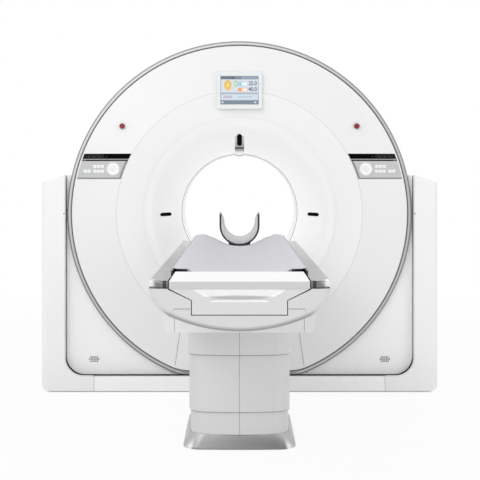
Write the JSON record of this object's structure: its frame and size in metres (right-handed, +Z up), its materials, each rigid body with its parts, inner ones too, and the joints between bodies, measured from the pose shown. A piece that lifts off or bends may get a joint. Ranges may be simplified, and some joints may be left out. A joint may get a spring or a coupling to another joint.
{
  "type": "ct scanner",
  "caption": "Computed tomography scanner: a ring-shaped tilting gantry with a wide bore on a fixed stand, and a lifting patient table whose padded cradle slides into the bore.",
  "frame": {"origin": "on the floor, at the centre of the gantry stand's four anchor holes, straight below the iso-centre of the bore", "axes": "+Y along the bore's axis from the table into the gantry, +X to the right seen from the table's near end, +Z up"},
  "size_m": [2.296, 3.292, 2.036],
  "materials": {
    "stand_steel": "satin",
    "wing_white": "satin",
    "plinth_grey": "satin",
    "drive_grey": "satin",
    "foot_silver": "satin",
    "pedestal_grey": "satin",
    "column_alloy": "anodised",
    "frame_cast": "cast",
    "shaft_steel": "ground",
    "bearing_steel": "ground",
    "cover_white": "gloss",
    "ring_silver": "satin",
    "housing_white": "satin",
    "liner_white": "satin",
    "window_grey": "satin",
    "bezel_white": "gloss",
    "screen_dark": "gloss",
    "strip_silver": "satin",
    "window_black": "gloss",
    "panel_grey": "satin",
    "strip_black": "gloss",
    "tube_metal": "satin",
    "detector_grey": "satin",
    "weight_iron": "cast",
    "slip_ring_brass": "satin",
    "stop_red": "gloss",
    "button_grey": "satin",
    "deck_alloy": "satin",
    "belly_grey": "satin",
    "rail_alloy": "anodised",
    "belt_rubber": "matte",
    "pulley_alloy": "satin",
    "roller_plastic": "matte",
    "cradle_black": "satin",
    "pad_grey": "matte",
    "cap_white": "satin",
    "keel_grey": "painted",
    "holder_black": "matte",
    "head_pad_grey": "matte"
  },
  "bodies": {
    "base": {"gantry_stand": "stand_steel", "left_stand_cover": "wing_white", "right_stand_cover": "wing_white", "plinth_boards": "plinth_grey", "tilt_gearbox": "drive_grey", "pedestal_base": "stand_steel", "pedestal_foot": "foot_silver", "pedestal_lower_cover": "pedestal_grey", "lift_column_outer": "column_alloy"},
    "tilting_gantry": {"tilt_frame": "frame_cast", "tilt_shafts": "shaft_steel", "bearing_outer_ring": "bearing_steel", "front_cover": "cover_white", "lower_access_panel": "cover_white", "ring_trim": "ring_silver", "housing_shell": "housing_white", "rear_cover": "cover_white", "front_bore_funnel": "cover_white", "rear_bore_funnel": "cover_white", "bore_liner_rings": "liner_white", "scan_window": "window_grey", "display_bezel": "bezel_white", "display_screen": "screen_dark", "laser_strip": "strip_silver", "laser_windows": "window_black", "control_panels": "panel_grey", "status_strips": "strip_black"},
    "rotor": {"rotor_drum": "frame_cast", "xray_tube": "tube_metal", "collimator": "drive_grey", "detector_arc": "detector_grey", "hv_generator": "drive_grey", "heat_exchanger": "frame_cast", "counterweight": "weight_iron", "slip_ring": "slip_ring_brass"},
    "left_stop_button": {"left_stop_button": "stop_red"},
    "right_stop_button": {"right_stop_button": "stop_red"},
    "left_round_button": {"left_round_button": "button_grey"},
    "right_round_button": {"right_round_button": "button_grey"},
    "lift_middle": {"pedestal_middle_cover": "pedestal_grey", "lift_column_middle": "column_alloy"},
    "table_top": {"pedestal_upper_cover": "pedestal_grey", "lift_column_inner": "column_alloy", "table_deck": "deck_alloy", "belly_cover": "belly_grey", "under_cover": "belly_grey", "left_side_rail": "rail_alloy", "right_side_rail": "rail_alloy", "guide_rails": "shaft_steel", "travel_motor": "drive_grey", "drive_belt": "belt_rubber"},
    "cradle_slide": {"cradle": "cradle_black", "mattress": "pad_grey", "cradle_end_cap": "cap_white", "carriage": "keel_grey", "head_holder": "holder_black", "head_pad": "head_pad_grey"},
    "drive_pulley": {"drive_pulley": "pulley_alloy"},
    "idler_pulley": {"idler_pulley": "pulley_alloy"},
    "support_roller": {"support_roller": "roller_plastic"}
  },
  "joints": [
    {"name": "gantry_tilt", "type": "hinge", "parent": "base", "child": "tilting_gantry", "pos_m": [0, 0, 1.036], "axis": [-1, 0, 0], "range_deg": [-30, 30]},
    {"name": "rotor_spin", "type": "hinge", "parent": "tilting_gantry", "child": "rotor", "pos_m": [0, 0, 1.036], "axis": [0, 1, 0], "continuous": true},
    {"name": "table_lift", "type": "slide", "parent": "base", "child": "table_top", "axis": [0, 0, 1], "range_m": [-0.36, 0.03]},
    {"name": "lift_middle_slide", "type": "slide", "parent": "base", "child": "lift_middle", "axis": [0, 0, 1], "range_m": [-0.1, 0.01]},
    {"name": "cradle_travel", "type": "slide", "parent": "table_top", "child": "cradle_slide", "axis": [0, 1, 0], "range_m": [0, 1.65]},
    {"name": "drive_pulley_turn", "type": "hinge", "parent": "table_top", "child": "drive_pulley", "pos_m": [0.228, -2.76, 0.827], "axis": [-1, 0, 0], "range_deg": [0, 7900]},
    {"name": "idler_pulley_turn", "type": "hinge", "parent": "table_top", "child": "idler_pulley", "pos_m": [0.228, -0.87, 0.827], "axis": [-1, 0, 0], "range_deg": [0, 7900]},
    {"name": "support_roller_turn", "type": "hinge", "parent": "table_top", "child": "support_roller", "pos_m": [0, -0.796, 0.8117], "axis": [-1, 0, 0], "range_deg": [0, 4310]},
    {"name": "left_stop_press", "type": "slide", "parent": "tilting_gantry", "child": "left_stop_button", "axis": [0, 1, 0], "range_m": [0, 0.004]},
    {"name": "right_stop_press", "type": "slide", "parent": "tilting_gantry", "child": "right_stop_button", "axis": [0, 1, 0], "range_m": [0, 0.004]},
    {"name": "left_round_press", "type": "slide", "parent": "tilting_gantry", "child": "left_round_button", "axis": [0.1141, 0.9927, -0.0403], "range_m": [0, 0.0015], "stiffness_N_per_m": 2000, "springref_m": -0.0005},
    {"name": "right_round_press", "type": "slide", "parent": "tilting_gantry", "child": "right_round_button", "axis": [-0.1141, 0.9927, -0.0403], "range_m": [0, 0.0015], "stiffness_N_per_m": 2000, "springref_m": -0.0005}
  ],
  "couplings": [
    {"joint": "lift_middle_slide", "follows": "table_lift", "ratio": 0.275},
    {"joint": "drive_pulley_turn", "follows": "cradle_travel", "rad_per_m": 83.333},
    {"joint": "idler_pulley_turn", "follows": "cradle_travel", "rad_per_m": 83.333},
    {"joint": "support_roller_turn", "follows": "cradle_travel", "rad_per_m": 45.455}
  ]
}
